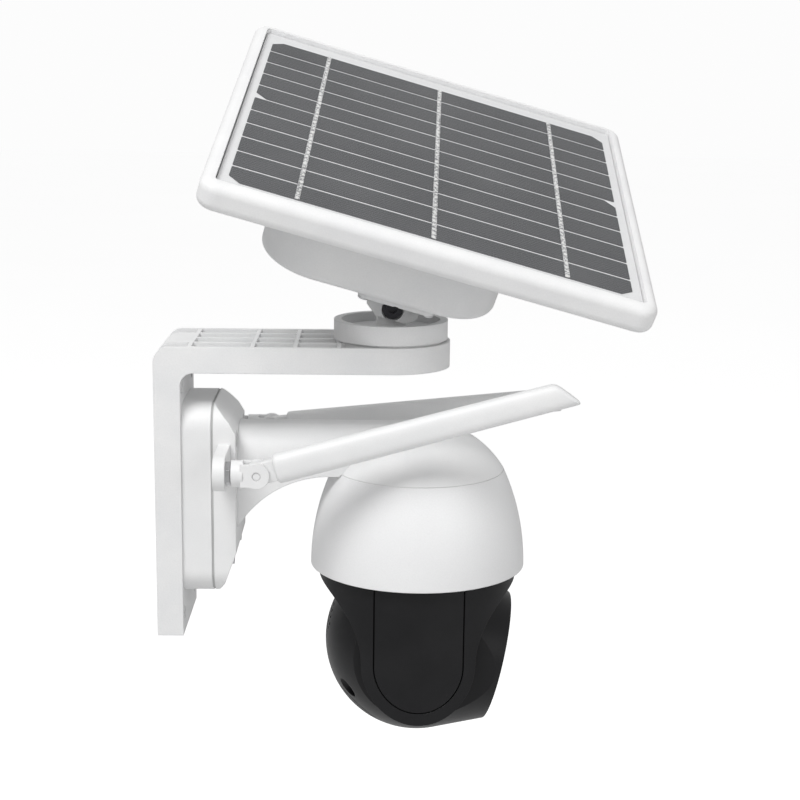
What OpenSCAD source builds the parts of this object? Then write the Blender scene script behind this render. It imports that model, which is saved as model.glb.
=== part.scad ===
// Solar security camera on an L-shaped wall bracket.
// X points away from the wall, Z points up, the wall is the plane X = 0.
// The origin is the middle of the four wall screw holes.

/* [Wall bracket] */
// width of the wall plate and of the top arm
bracket_w = 46; // [40:1:56]
// thickness of the wall plate
plate_t = 10; // [9:0.5:13]
// height of the bracket from its foot to the top of the arm
bracket_h = 113; // [108:1:140]
// thickness of the top arm
arm_t = 10; // [9:0.5:13]
// distance from the wall to the swivel axis of the panel
arm_reach = 89; // [84:1:110]
// thickness of the outer skin of the ribbed mouldings
skin_t = 2; // [1.6:0.1:2.4]
// thickness of the stiffening ribs
rib_t = 1.6; // [1.2:0.1:2]
// radius of the wall screw holes
wall_hole_r = 2.5; // [2:0.1:3]

/* [Panel mount] */
// radius of the swivel disc
disc_r = 22; // [20:0.5:22.5]
// height of the swivel disc
disc_h = 8; // [7:0.5:10]
// height of the tilt bolt above the disc rim
bolt_rise = 5; // [4.5:0.5:8]
// turn of the disc at rest, degrees
panel_turn = 2.7; // [0:0.1:5]
// downward tilt of the panel at rest, degrees
panel_tilt = 15.7; // [10:0.1:17]
// sideways lean built into the saddle, degrees
panel_lean = 19.4; // [15:0.1:20]

/* [Solar panel] */
// long side of the panel frame
panel_l = 168; // [150:1:202]
// short side of the panel frame
panel_w = 182; // [160:1:219]
// thickness of the panel frame
frame_t = 11; // [10.5:0.5:14]
// number of cell strips
cell_strips = 11; // [9:1:12]
// height of the battery box
box_h = 26; // [25:0.5:30]
// length of the battery box
box_l = 92; // [84:1:110]
// width of the battery box
box_w = 80; // [72:1:90]

/* [Camera base and neck] */
// width of the camera base
base_w = 44; // [40:1:48]
// depth of the camera base from the wall plate to its front
base_d = 20.5; // [19:0.5:24]
// width of the neck
neck_w = 30; // [26:1:32]
// distance from the wall to the pan axis
pan_reach = 100.5; // [100:0.5:121]

/* [Dome] */
// outer radius of the dome at its rim
dome_r = 42.2; // [42:0.1:51]
// height of the dome from rim to seam
dome_h = 38.2; // [38:0.1:42]
// wall of the dome
dome_wall = 2; // [1.8:0.1:2.2]

/* [Head] */
// radius of the round head
head_r = 36.3; // [35:0.1:37]
// distance from the tilt axis to the flat face
face_reach = 32.6; // [31:0.1:34]
// width of the head between its side flats
head_w = 53; // [50:0.5:53]
// downward tilt of the head at rest, degrees
head_tilt = 13; // [0:1:20]
// drop of the tilt axis below the dome rim
axis_drop = 32; // [27.5:0.5:34]

/* [Antennas] */
// length of each antenna from its elbow to its tip
antenna_l = 122; // [100:1:130]
// width of the antenna blade
antenna_w = 11; // [9:0.5:12]
// rise of the near antenna at rest, degrees
near_rise = 15.3; // [6:0.1:18]
// rise of the far antenna at rest, degrees
far_rise = 6; // [6:0.1:18]

/* [Hidden] */
$fn = 72;
eps = 0.01;
// running clearance of every turning shaft
run_gap = 0.05;
// gap between two mouldings of different moving pieces
free_gap = 0.4;

// wall plate
hole_rise = bracket_h - 24;
hole_inset = 7.5;
foot_z = -hole_rise / 2 - hole_inset;
arm_top = foot_z + bracket_h;
arm_low = arm_top - arm_t;
row_count = 4;
row_w = (bracket_w - 2 * skin_t - (row_count - 1) * rib_t) / row_count;
hole_span = 2 * (1.5 * rib_t + 1.5 * row_w);
corner_r = 6;
seat_r = disc_r - 1;
seat_h = 0.6;
rib_x = [13.4, 37, 53, 69.5];

// swivel disc and tilt bolt
disc_low = arm_top + seat_h + 0.05;
disc_top = arm_top + disc_h;
bolt_z = disc_top + bolt_rise;
disc_dish = 3.5;
swivel_bolt_r = 3;
tongue_w = 12;
tongue_r = 5.4;
tilt_bolt_r = 2.5;
cheek_t = 4.6;
cheek_half = 10;
cheek_drop = 4;

// panel stack, heights above the tilt bolt, square to the panel
box_low = 11.7;
frame_low = box_low + box_h;
panel_x = 3.2;
panel_y = 45;
box_x = panel_x - 12;
box_y = panel_y - panel_w / 2 + 63;
box_corner = 22;
box_wall = 2.2;
box_soft = 3;
floor_in = 6;
frame_corner = 7;
frame_edge = 3.5;
rim = 5;
sheet_l = panel_l - 2 * rim;
sheet_w = panel_w - 2 * rim;
sheet_corner = frame_corner - rim;
back_in = 1.5;
sheet_low = frame_low + frame_t - 4;
sheet_t = 2;
cell_t = 0.3;
bus_t = 0.2;
cover_t = 1.1;
cell_l = panel_l - 18;
cell_area_w = panel_w - 24;
cell_shift = -1.5;
cell_pitch = cell_area_w / cell_strips;
cell_gap = 1.2;
cell_cut = 4.5;
bus_count = 3;
bus_w = 1.8;
back_t = 2.5;

// camera base
base_top = hole_rise / 2 - 6;
base_low = -(hole_rise / 2 - 8.3);
base_h = base_top - base_low;
base_mid = (base_top + base_low) / 2;
base_front = plate_t + base_d;
base_split = base_front - 8.5;
seal_t = 0.8;
base_corner = 10;
base_wall = 2.4;
base_screw_y = base_w / 2 - 6;
base_screw_top = base_top - 14;
base_screw_low = base_low + 14;

// neck and cap
neck_top = base_top - 10.5;
cap_h = 18.5;
seam_z = neck_top + 0.7 - cap_h;
neck_curve = 41;
neck_curve_x = pan_reach - 34.5;
neck_curve_z = seam_z - 0.7 - neck_curve;
neck_bore = 6;
neck_round = 12;

// dome
rim_z = seam_z - dome_h;
dome_arc = 90;
dome_arc_z = rim_z - 0.5;
seam_r = dome_r - dome_arc + sqrt(dome_arc * dome_arc - pow(seam_z - dome_arc_z, 2));
cap_r = (seam_r * seam_r + cap_h * cap_h) / (2 * cap_h);
cap_wall = 2.2;
ledge_in = seam_r - 6.5;

// pan drive
axis_z = rim_z - axis_drop;
table_low = axis_z + head_r + 1.5;
table_t = 3;
table_top = table_low + table_t;
yoke_r = dome_r - 3.4;
hub_r = 8;
hub_bore = 5;
tooth_m = 0.8;
pan_teeth = 40;
pan_pin_teeth = 14;
pan_gear_t = 3.2;
pan_gap = tooth_m * (pan_teeth + pan_pin_teeth) / 2;
plate_low = table_top + 5;
plate_thick = 2;
collar_r = 13;
collar_h = 5;
bearing_r = 11;
motor_r = 7.4;
motor_h = 12;
board_z = plate_low + 16;
board_t = 1.6;
post_ring = 21;

// yoke
arm_in = head_w / 2 + 0.7;
arm_wall = 1.7;
yoke_end_r = 22;
flare_r = 31;
cover_r = 16.8;
cover_wall = 2;
cover_groove = 0.5;
cover_up = axis_drop + 3;
tilt_teeth = 32;
tilt_pin_teeth = 12;
tilt_gap = tooth_m * (tilt_teeth + tilt_pin_teeth) / 2;
gear_t = 2.2;
gear_y = arm_in + arm_wall + 0.3;
trunnion_r = 5;
pin_shaft_r = 1;
flat_motor_t = yoke_r - cover_wall - gear_y - gear_t - 1.5;
flat_motor_r = 8;

// head
seam_x = 2.5;
cone_slope = 22.5;
face_r = head_r * cos(cone_slope) - (face_reach - head_r * sin(cone_slope)) * tan(cone_slope);
shell_t = 2.2;
window_r = face_r - 3.5;
window_t = 1.5;
window_x = face_reach - 0.7 - window_t;
screw_y = 19;
screw_z = 20;
plug_angle = 241;
plug_l = 36;
plug_w = 25;
plug_gap = 0.4;
plug_t = 2;
grille_pitch = 2.6;

// antennas
antenna_y = base_w / 2 + 18.5;
antenna_x = base_front + 9.5;
antenna_z = neck_top - 11;
blade_t = 8;
tang_t = 4.6;
fork_gap = 0.15;
fork_r = 5;
ear_x = base_split + 2;
ear_t = 4.5;
stub_r = 2.55;
hinge_r = 1.5;

// ---------- shared shapes ----------

module rounded_rect(l, w, r) {
  union() {
    square([l - 2 * r, w], center = true);
    square([l, w - 2 * r], center = true);
    for (sx = [-1, 1], sy = [-1, 1])
      translate([sx * (l / 2 - r), sy * (w / 2 - r)])
        circle(r = r);
  }
}

// runs a wall section round a rounded rectangle; the section's X counts from the corner centre outwards
module ring_wall(l, w, r) {
  for (a = [0:3]) {
    side = a % 2 == 0 ? l : w;
    cross = a % 2 == 0 ? w : l;
    rotate([0, 0, 90 * a]) {
      translate([side / 2 - r, cross / 2 - r, 0])
        rotate([90, 0, 0])
          linear_extrude(cross - 2 * r)
            children();
      translate([side / 2 - r, cross / 2 - r, 0])
        rotate_extrude(angle = 90)
          children();
    }
  }
}

// a screw whose head lies above Z = 0 and whose shank points down, with a cross slot
module screw(shank_r, length, head_r, head_h) {
  slot = head_r * 0.35;
  difference() {
    union() {
      translate([0, 0, -length])
        cylinder(r = shank_r, h = length + head_h / 2);
      cylinder(r = head_r, h = head_h);
    }
    for (a = [0, 90])
      rotate([0, 0, a])
        translate([0, 0, head_h])
          cube([head_r * 1.3, slot, head_h], center = true);
  }
}

function involute(a) = tan(a) * 180 / PI - a;
function flank_angle(r, base_r, half) =
  half - involute(acos(min(1, base_r / r)));

// spur gear with involute flanks, a tooth on the +X side
module spur_gear(teeth, thick, bore) {
  pitch_r = tooth_m * teeth / 2;
  base_r = pitch_r * cos(20);
  tip_r = pitch_r + tooth_m;
  root_r = pitch_r - 1.25 * tooth_m;
  slack = 0.08 / pitch_r * 180 / PI;
  half = 90 / teeth - slack + involute(20);
  low_r = max(base_r, root_r);
  steps = 4;
  rising = [for (i = [0:steps]) low_r + (tip_r - low_r) * i / steps];
  tooth = concat(
    [[root_r, -flank_angle(low_r, base_r, half)]],
    [for (r = rising) [r, -flank_angle(r, base_r, half)]],
    [for (i = [steps:-1:0]) [rising[i], flank_angle(rising[i], base_r, half)]],
    [[root_r, flank_angle(low_r, base_r, half)]]
  );
  outline = [for (k = [0:teeth - 1]) for (p = tooth)
    [p[0] * cos(p[1] + k * 360 / teeth), p[0] * sin(p[1] + k * 360 / teeth)]];
  difference() {
    linear_extrude(thick)
      polygon(outline);
    translate([0, 0, -1])
      cylinder(r = bore, h = thick + 2);
  }
}

// ---------- wall bracket ----------

function row_y(i) = -bracket_w / 2 + skin_t + row_w / 2 + i * (row_w + rib_t);

module arm_outline() {
  translate([0, -bracket_w / 2])
    square([arm_reach, bracket_w]);
  translate([arm_reach, 0])
    circle(r = bracket_w / 2);
}

module arm_pocket(i, from_x, to_x) {
  translate([from_x, row_y(i) - row_w / 2, arm_low + skin_t])
    cube([to_x - from_x, row_w, arm_t]);
}

module arm_pockets() {
  for (i = [0:row_count - 1]) {
    for (k = [0:2])
      arm_pocket(i, rib_x[k] + rib_t / 2, rib_x[k + 1] - rib_t / 2);
    arm_pocket(i, rib_x[3] + rib_t / 2, arm_reach);
    if (i == 0 || i == row_count - 1)
      arm_pocket(i, -1, rib_x[0] - rib_t / 2);
  }
}

// sloping floor at the wall end of each long pocket
module pocket_ramps() {
  ramp_l = 6;
  ramp_h = 5;
  for (i = [0:row_count - 1])
    translate([rib_x[0] + rib_t / 2 - eps, row_y(i) + row_w / 2 + eps, arm_low + skin_t - eps])
      rotate([90, 0, 0])
        linear_extrude(row_w + 2 * eps)
          polygon([[0, 0], [ramp_l, 0], [0, ramp_h]]);
}

module plate_pockets() {
  top_stop = arm_low - 4;
  bays = 6;
  bay_h = (top_stop - foot_z - skin_t) / bays;
  for (i = [0:row_count - 1])
    for (k = [0:bays - 1])
      translate([-1, row_y(i) - row_w / 2, foot_z + skin_t + k * bay_h])
        cube([plate_t - skin_t + 1, row_w, bay_h - rib_t]);
  for (i = [0, row_count - 1])
    translate([-1, row_y(i) - row_w / 2, top_stop])
      cube([5, row_w, arm_top - top_stop + 1]);
}

module wall_hole_bosses(r, from_x, to_x) {
  for (sy = [-1, 1], sz = [-1, 1])
    translate([from_x, sy * hole_span / 2, sz * hole_rise / 2])
      rotate([0, 90, 0])
        cylinder(r = r, h = to_x - from_x);
}

module l_bracket() {
  fillet_r = 5;
  color("whitesmoke")
  difference() {
    union() {
      difference() {
        union() {
          translate([0, -bracket_w / 2, foot_z])
            cube([plate_t, bracket_w, bracket_h]);
          translate([0, 0, arm_low])
            linear_extrude(arm_t)
              arm_outline();
        }
        arm_pockets();
        plate_pockets();
      }
      pocket_ramps();
      wall_hole_bosses(wall_hole_r + 2.2, 0, plate_t);
      translate([arm_reach, 0, arm_low])
        cylinder(r = seat_r, h = arm_t + seat_h);
      translate([plate_t - eps, -bracket_w / 2, arm_low - fillet_r])
        difference() {
          cube([fillet_r, bracket_w, fillet_r + eps]);
          translate([fillet_r, -1, 0])
            rotate([-90, 0, 0])
              cylinder(r = fillet_r, h = bracket_w + 2);
        }
    }
    wall_hole_bosses(wall_hole_r, -1, plate_t + 1);
    translate([arm_reach, 0, arm_low - 1])
      cylinder(r = swivel_bolt_r + run_gap, h = arm_t + 3);
    // recess for the bolt head under the arm
    translate([arm_reach, 0, arm_low - 1])
      cylinder(r = 7, h = 5);
    // rounded outer corner
    translate([0, -bracket_w / 2 - 1, arm_top - corner_r])
      difference() {
        translate([-1, 0, 0])
          cube([corner_r + 1, bracket_w + 2, corner_r + 1]);
        translate([corner_r, -1, 0])
          rotate([-90, 0, 0])
            cylinder(r = corner_r, h = bracket_w + 4);
      }
    // screw holes that hold the camera base
    for (sy = [-1, 1], z = [base_mid - 22, base_mid + 22])
      translate([plate_t - 5, sy * 8, z])
        rotate([0, 90, 0])
          cylinder(r = 1.5, h = 6);
  }
}

// ---------- camera base and neck ----------

module base_outline(inset) {
  rounded_rect(base_h - 2 * inset, base_w - 2 * inset, base_corner - inset);
}

// stands a flat outline up against the wall plate, its long side vertical
module on_plate(x) {
  translate([x, 0, base_mid])
    rotate([0, 90, 0])
      children();
}

module base_corners(x, r, h) {
  for (sy = [-1, 1], z = [base_screw_low, base_screw_top])
    translate([x, sy * base_screw_y, z])
      rotate([0, 90, 0])
        cylinder(r = r, h = h);
}

module camera_base() {
  depth = base_split - seal_t - plate_t;
  color("whitesmoke")
  difference() {
    union() {
      difference() {
        on_plate(plate_t)
          linear_extrude(depth)
            base_outline(0);
        on_plate(plate_t + base_wall)
          linear_extrude(depth)
            base_outline(base_wall);
      }
      base_corners(plate_t + base_wall - eps, 3.4, depth - base_wall);
    }
    base_corners(plate_t + base_wall + 1, 1.25, depth);
    // holes for the screws into the bracket
    for (sy = [-1, 1], z = [base_mid - 22, base_mid + 22])
      translate([plate_t - 1, sy * 8, z])
        rotate([0, 90, 0])
          cylinder(r = 1.7, h = base_wall + 2);
    // cable outlet
    translate([(plate_t + base_split) / 2, 0, base_low - 1])
      cylinder(r = 3.5, h = base_wall + 3);
  }
}

module base_gland() {
  x = (plate_t + base_split) / 2;
  color("whitesmoke")
  difference() {
    union() {
      translate([x, 0, base_low - 0.8])
        cylinder(r = 4.6, h = 0.8);
      translate([x, 0, base_low - 1.6])
        cylinder(r = 3.9, h = 0.8);
      translate([x, 0, base_low - eps])
        cylinder(r = 3.4, h = base_wall + 1);
    }
    translate([x, 0, base_low - 7])
      cylinder(r = 1.6, h = 14);
  }
}

module base_seal() {
  color("lightgray")
  difference() {
    on_plate(base_split - seal_t)
      linear_extrude(seal_t)
        difference() {
          base_outline(0.3);
          base_outline(base_wall);
        }
  }
}

// side view of the front cover, foot, chamfers and flat front
module cover_side() {
  polygon([
    [base_split, base_low], [base_split + 1, base_low],
    [base_split + 4, base_low + 4.5], [base_front, base_low + 17],
    [base_front, base_top - 11], [base_front - 2.3, base_top - 7],
    [base_split, base_top]
  ]);
}

module cover_body(inset) {
  intersection() {
    on_plate(base_split)
      linear_extrude(base_d)
        base_outline(inset);
    translate([-inset, base_w, 0])
      rotate([90, 0, 0])
        linear_extrude(2 * base_w)
          cover_side();
  }
}

module antenna_ears() {
  ear_r = 6.5;
  for (s = [-1, 1])
    difference() {
      union() {
        translate([ear_x, s * antenna_y, antenna_z])
          rotate([0, 90, 0])
            cylinder(r = ear_r, h = ear_t);
        translate([ear_x, s > 0 ? base_w / 2 - base_wall : -antenna_y, antenna_z - ear_r])
          cube([ear_t, antenna_y - base_w / 2 + base_wall, 2 * ear_r]);
      }
      translate([ear_x - 1, s * antenna_y, antenna_z])
        rotate([0, 90, 0])
          cylinder(r = 3.25, h = ear_t + 2);
    }
}

module base_cover() {
  neck_hole = neck_bore;
  color("whitesmoke")
  difference() {
    union() {
      difference() {
        cover_body(0);
        translate([-base_wall, 0, 0])
          cover_body(base_wall);
      }
      intersection() {
        cover_body(0);
        base_corners(base_split, 3.4, base_d);
      }
      antenna_ears();
    }
    base_corners(base_split - 1, 1.7, base_d);
    base_corners(base_front - 3, 3.1, base_d);
    translate([base_front - 5, 0, antenna_z])
      rotate([0, 90, 0])
        cylinder(r = neck_hole, h = 8);
  }
}

module cover_screws() {
  color("silver")
  for (sy = [-1, 1], z = [base_screw_low, base_screw_top])
    translate([base_front - 3, sy * base_screw_y, z])
      rotate([0, 90, 0])
        screw(1.2, base_front - 6 - plate_t - base_wall, 2.8, 1.8);
}

module neck_section() {
  translate([-neck_w / 2, -60])
    square([neck_w, 60 - neck_round]);
  translate([-neck_w / 2, -neck_round - eps])
    square([neck_w, eps]);
  translate([-neck_w / 2 + neck_round, -neck_round])
    square([neck_w - 2 * neck_round, neck_round]);
  for (s = [-1, 1])
    translate([s * (neck_w / 2 - neck_round), -neck_round])
      circle(r = neck_round);
}

module neck_solid() {
  root_low = base_low + 20;
  difference() {
    translate([base_front, 0, neck_top])
      rotate([90, 0, 90])
        linear_extrude(pan_reach - base_front)
          neck_section();
    translate([neck_curve_x, 0, neck_curve_z])
      rotate([90, 0, 0])
        cylinder(r = neck_curve, h = neck_w + 2, center = true, $fn = 144);
    translate([neck_curve_x, -neck_w, neck_curve_z - 60])
      cube([60, 2 * neck_w, 60 + neck_curve]);
    translate([base_front - 1, -neck_w, -100 + root_low])
      cube([120, 2 * neck_w, 100]);
  }
}

module cap_ball(r) {
  translate([pan_reach, 0, seam_z + cap_h - cap_r])
    sphere(r = r, $fn = 144);
}

module camera_arm() {
  color("whitesmoke")
  difference() {
    union() {
      neck_solid();
      intersection() {
        cap_ball(cap_r);
        translate([pan_reach, 0, seam_z])
          cylinder(r = seam_r + 5, h = cap_h + 5);
      }
    }
    // hollow of the cap
    intersection() {
      cap_ball(cap_r - cap_wall);
      translate([pan_reach, 0, seam_z + 2])
        cylinder(r = seam_r - 4, h = cap_h);
    }
    translate([pan_reach, 0, seam_z - 5])
      cylinder(r = ledge_in, h = 8);
    // nothing of the neck hangs below the seam inside the dome
    translate([pan_reach, 0, seam_z - 20])
      cylinder(r = seam_r + free_gap, h = 20);
    translate([base_front - 1, 0, antenna_z])
      rotate([0, 90, 0])
        cylinder(r = neck_bore, h = pan_reach - base_front - 10);
  }
}

// ---------- dome and its fixed inner pieces ----------

module dome_half_section(r, arc) {
  intersection() {
    translate([dome_r - dome_arc, dome_arc_z])
      circle(r = arc, $fn = 360);
    translate([0, rim_z])
      square([r, seam_z - rim_z]);
  }
}

module dome_shell() {
  color("whitesmoke")
  translate([pan_reach, 0, 0])
  difference() {
    union() {
      rotate_extrude($fn = 144)
        difference() {
          dome_half_section(dome_r + 1, dome_arc);
          dome_half_section(dome_r + 1, dome_arc - dome_wall);
        }
      // ledge under the cap
      translate([0, 0, seam_z - 2])
        difference() {
          cylinder(r = seam_r - 0.6, h = 2);
          translate([0, 0, -1])
            cylinder(r = ledge_in, h = 4);
        }
      // ledge that carries the drive plate
      translate([0, 0, plate_low + plate_thick])
        difference() {
          cylinder(r = dome_r - 3, h = 2);
          translate([0, 0, -1])
            cylinder(r = dome_r - 8.2, h = 4);
        }
    }
    plate_screw_ring(1.2, plate_low, 8);
  }
}

module plate_screw_ring(r, z, h) {
  for (a = [60, 180, 300])
    rotate([0, 0, a])
      translate([dome_r - 6.8, 0, z])
        cylinder(r = r, h = h);
}

module motor_plate() {
  color("gainsboro")
  translate([pan_reach, 0, plate_low])
    difference() {
      union() {
        cylinder(r = dome_r - 5, h = plate_thick);
        cylinder(r = collar_r, h = collar_h);
        for (a = [90, 210, 330])
          rotate([0, 0, a])
            translate([post_ring, 0, 0])
              cylinder(r = 2.2, h = board_z - plate_low);
      }
      translate([0, 0, -1])
        cylinder(r = bearing_r, h = collar_h + 2);
      translate([-pan_gap, 0, -1])
        cylinder(r = 4, h = plate_thick + 2);
      translate([0, 0, -plate_low])
        plate_screw_ring(1.5, plate_low - 1, 4);
    }
}

module plate_screws() {
  color("silver")
  translate([pan_reach, 0, 0])
    for (a = [60, 180, 300])
      rotate([0, 0, a])
        translate([dome_r - 6.8, 0, plate_low])
          rotate([180, 0, 0])
            screw(1.15, plate_thick + 1.8, 2.4, 1.4);
}

module pan_bearing() {
  color("silver")
  translate([pan_reach, 0, plate_low])
    difference() {
      cylinder(r = bearing_r, h = 4);
      translate([0, 0, -1])
        cylinder(r = hub_r + run_gap, h = 6);
    }
}

module pan_motor() {
  color("silver")
  translate([pan_reach - pan_gap, 0, plate_low + plate_thick])
    difference() {
      union() {
        cylinder(r = motor_r, h = motor_h);
        translate([0, 0, -plate_thick - 0.3])
          cylinder(r = 3.8, h = plate_thick + 0.4);
      }
      translate([0, 0, -plate_thick - 1])
        cylinder(r = pin_shaft_r + run_gap, h = plate_thick + 7);
    }
}

module main_board() {
  color("seagreen")
  translate([pan_reach, 0, board_z]) {
    cylinder(r = ledge_in - 1, h = board_t);
    translate([-14, -8, board_t - eps])
      cube([12, 12, 1.2]);
    translate([3, 3, board_t - eps])
      cube([10, 8, 1]);
    translate([2, -14, board_t - eps])
      cube([14, 9, 2]);
  }
}

module slip_ring() {
  color("black")
  translate([pan_reach, 0, table_low + 1])
    cylinder(r = hub_bore - 0.4, h = board_z - table_low - 1);
}

module antenna_connectors() {
  nut_af = 8;
  color("silver")
  for (s = [-1, 1])
    translate([ear_x, s * antenna_y, antenna_z])
      rotate([0, 90, 0]) {
        translate([0, 0, 0.5])
          cylinder(r = 3.2, h = ear_t - 0.5);
        translate([0, 0, ear_t])
          cylinder(r = nut_af / 2 / cos(30), h = 1.8, $fn = 6);
        translate([0, 0, 0.5])
          cylinder(r = stub_r, h = antenna_x - fork_r - ear_x - 1.3);
      }
}

// ---------- panel swivel and tilt ----------

module on_disc() {
  translate([arm_reach, 0, 0])
    rotate([0, 0, panel_turn])
      children();
}

// on the tilt bolt, X down the slope of the panel, Y along the bolt
module on_bolt() {
  on_disc()
    translate([0, 0, bolt_z])
      rotate([0, panel_tilt, 0])
        children();
}

// square to the panel, Z out of its face
module on_panel() {
  on_bolt()
    rotate([panel_lean, 0, 0])
      children();
}

module swivel_disc() {
  rim = 3;
  foot_z0 = disc_low;
  color("whitesmoke")
  on_disc()
    difference() {
      union() {
        difference() {
          translate([0, 0, foot_z0])
            cylinder(r = disc_r, h = disc_top - foot_z0, $fn = 144);
          translate([0, 0, disc_top - disc_dish])
            cylinder(r = disc_r - rim, h = disc_dish + 1, $fn = 144);
        }
        translate([-tongue_r, -tongue_w / 2, disc_top - disc_dish - 1])
          cube([2 * tongue_r, tongue_w, bolt_rise + disc_dish + 1]);
        translate([0, 0, bolt_z])
          rotate([90, 0, 0])
            cylinder(r = tongue_r, h = tongue_w, center = true);
      }
      translate([0, 0, bolt_z])
        rotate([90, 0, 0])
          cylinder(r = tilt_bolt_r + run_gap, h = tongue_w + 2, center = true);
      translate([0, 0, foot_z0 - 1])
        cylinder(r = swivel_bolt_r + 0.02, h = 6);
    }
}

// bolt through the arm, its head in the recess below
module swivel_bolt() {
  color("silver")
  on_disc()
    translate([0, 0, arm_low + 1.2])
      difference() {
        union() {
          cylinder(r = 5.4, h = 2.7);
          cylinder(r = swivel_bolt_r, h = disc_low - arm_low + 3);
        }
        translate([0, 0, -1])
          cylinder(r = 2.3, h = 2.6, $fn = 6);
      }
}

module cheek_side() {
  polygon([
    [-cheek_half, 40], [-cheek_half, -0.5], [-5.5, -cheek_drop],
    [6, -cheek_drop], [cheek_half, -1.2], [cheek_half, 40]
  ]);
}

module tilt_saddle() {
  base_t = 3;
  base_half = 15;
  color("lightgray")
  difference() {
    union() {
      intersection() {
        on_bolt()
          for (s = [-1, 1])
            translate([0, s * (tongue_w / 2 + 0.15 + cheek_t / 2), 0])
              rotate([90, 0, 0])
                linear_extrude(cheek_t, center = true)
                  cheek_side();
        on_panel()
          translate([-20, -40, -40])
            cube([40, 80, 40 + box_low - base_t / 2]);
      }
      on_panel()
        translate([0, 0, box_low - base_t])
          linear_extrude(base_t)
            rounded_rect(2 * base_half, 2 * base_half + 6, 4);
    }
    on_bolt()
      rotate([90, 0, 0]) {
        cylinder(r = tilt_bolt_r + 0.02, h = 60, center = true);
        translate([0, 0, tongue_w / 2 + 0.15 + cheek_t - 2.2])
          cylinder(r = 4.2, h = 10);
        translate([0, 0, -tongue_w / 2 - 0.15 - cheek_t - 8])
          cylinder(r = 4.2, h = 10);
      }
    on_panel()
      for (sx = [-1, 1], sy = [-1, 1])
        translate([sx * 12.4, sy * 14.5, box_low - base_t - 1])
          cylinder(r = 1.4, h = base_t + 2);
  }
}

module tilt_bolt() {
  color("silver")
  on_bolt()
    rotate([90, 0, 0])
      difference() {
        union() {
          translate([0, 0, -tongue_w / 2 - cheek_t - 0.1])
            cylinder(r = tilt_bolt_r, h = tongue_w + 2 * cheek_t);
          translate([0, 0, tongue_w / 2 + 0.15 + cheek_t - 2.2])
            cylinder(r = 3.8, h = 1.6);
        }
        translate([0, 0, tongue_w / 2 + cheek_t - 1.6])
          cylinder(r = 1.7, h = 4, $fn = 6);
      }
}

module tilt_nut() {
  color("silver")
  on_bolt()
    rotate([-90, 0, 0])
      translate([0, 0, tongue_w / 2 + 0.15 + cheek_t - 2])
        difference() {
          cylinder(r = 4.1, h = 2.2, $fn = 6);
          translate([0, 0, -1])
            cylinder(r = tilt_bolt_r + 0.02, h = 5);
        }
}

module saddle_screws() {
  color("silver")
  on_panel()
    for (sx = [-1, 1], sy = [-1, 1])
      translate([sx * 12.4, sy * 14.5, box_low - 3])
        rotate([180, 0, 0])
          screw(1.35, 3 + box_wall + 1.5, 2.3, 1.2);
}

// ---------- battery box ----------

module in_box(z) {
  on_panel()
    translate([box_x, box_y, z])
      children();
}

module box_post_spots() {
  for (sx = [-1, 1], sy = [-1, 1])
    translate([sx * (box_l / 2 - 9), sy * (box_w / 2 - 9), 0])
      children();
}

// wall of the battery box with its soft lower edge
module box_section(height) {
  translate([box_corner - floor_in, 0])
    square([floor_in - box_soft, box_wall]);
  intersection() {
    translate([box_corner - box_soft, box_soft])
      circle(r = box_soft);
    translate([box_corner - box_soft, 0])
      square([box_soft, box_soft]);
  }
  translate([box_corner - box_wall, box_soft])
    square([box_wall, height - box_soft]);
}

module battery_box() {
  seal_h = 1;
  height = box_h - seal_h;
  color("lightgray")
  difference() {
    union() {
      difference() {
        in_box(box_low) {
          ring_wall(box_l, box_w, box_corner)
            box_section(height);
          linear_extrude(box_wall)
            rounded_rect(box_l - 2 * floor_in, box_w - 2 * floor_in, box_corner - floor_in);
        }
      }
      in_box(box_low + box_wall - eps)
        box_post_spots()
          cylinder(r = 3, h = height - box_wall);
      on_panel()
        for (sx = [-1, 1], sy = [-1, 1])
          translate([sx * 12.4, sy * 14.5, box_low + box_wall - eps])
            cylinder(r = 3, h = 2.5);
    }
    in_box(box_low + 6)
      box_post_spots()
        cylinder(r = 1.25, h = height);
    on_panel()
      for (sx = [-1, 1], sy = [-1, 1])
        translate([sx * 12.4, sy * 14.5, box_low - 1])
          cylinder(r = 1.35, h = box_wall + 3.4);
    in_box(box_low + box_h / 2)
      translate([0, box_w / 2 - 4, 0])
        rotate([-90, 0, 0])
          cylinder(r = 3.5, h = 8);
  }
}

module box_seal() {
  color("dimgray")
  in_box(box_low + box_h - 1)
    linear_extrude(1)
      difference() {
        rounded_rect(box_l - 0.6, box_w - 0.6, box_corner - 0.3);
        rounded_rect(box_l - 4, box_w - 4, box_corner - 2);
      }
}

module battery_cells() {
  cell_r = 9.1;
  cell_len = 65;
  spread = 18.7;
  color("steelblue")
  in_box(box_low + box_wall + cell_r + 3)
    for (k = [-1:1])
      translate([-4, k * spread, 0])
        rotate([0, 90, 0]) {
          cylinder(r = cell_r, h = cell_len, center = true);
          cylinder(r = 3, h = cell_len + 2, center = true);
        }
}

module charge_board() {
  color("seagreen")
  in_box(box_low + box_wall + 2)
    translate([box_l / 2 - 15, 0, 0]) {
      translate([0, -20, 0])
        cube([1.6, 40, 15]);
      translate([1.6 - eps, -12, 3])
        cube([2.5, 10, 8]);
      translate([1.6 - eps, 4, 4])
        cube([4, 6, 6]);
    }
}

module box_gland() {
  color("dimgray")
  in_box(box_low + box_h / 2)
    translate([0, box_w / 2, 0])
      rotate([-90, 0, 0])
        difference() {
          union() {
            translate([0, 0, -3])
              cylinder(r = 3.4, h = 4);
            cylinder(r = 5, h = 3);
            cylinder(r = 4.2, h = 7);
          }
          translate([0, 0, -4])
            cylinder(r = 1.6, h = 14);
        }
}

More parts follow.
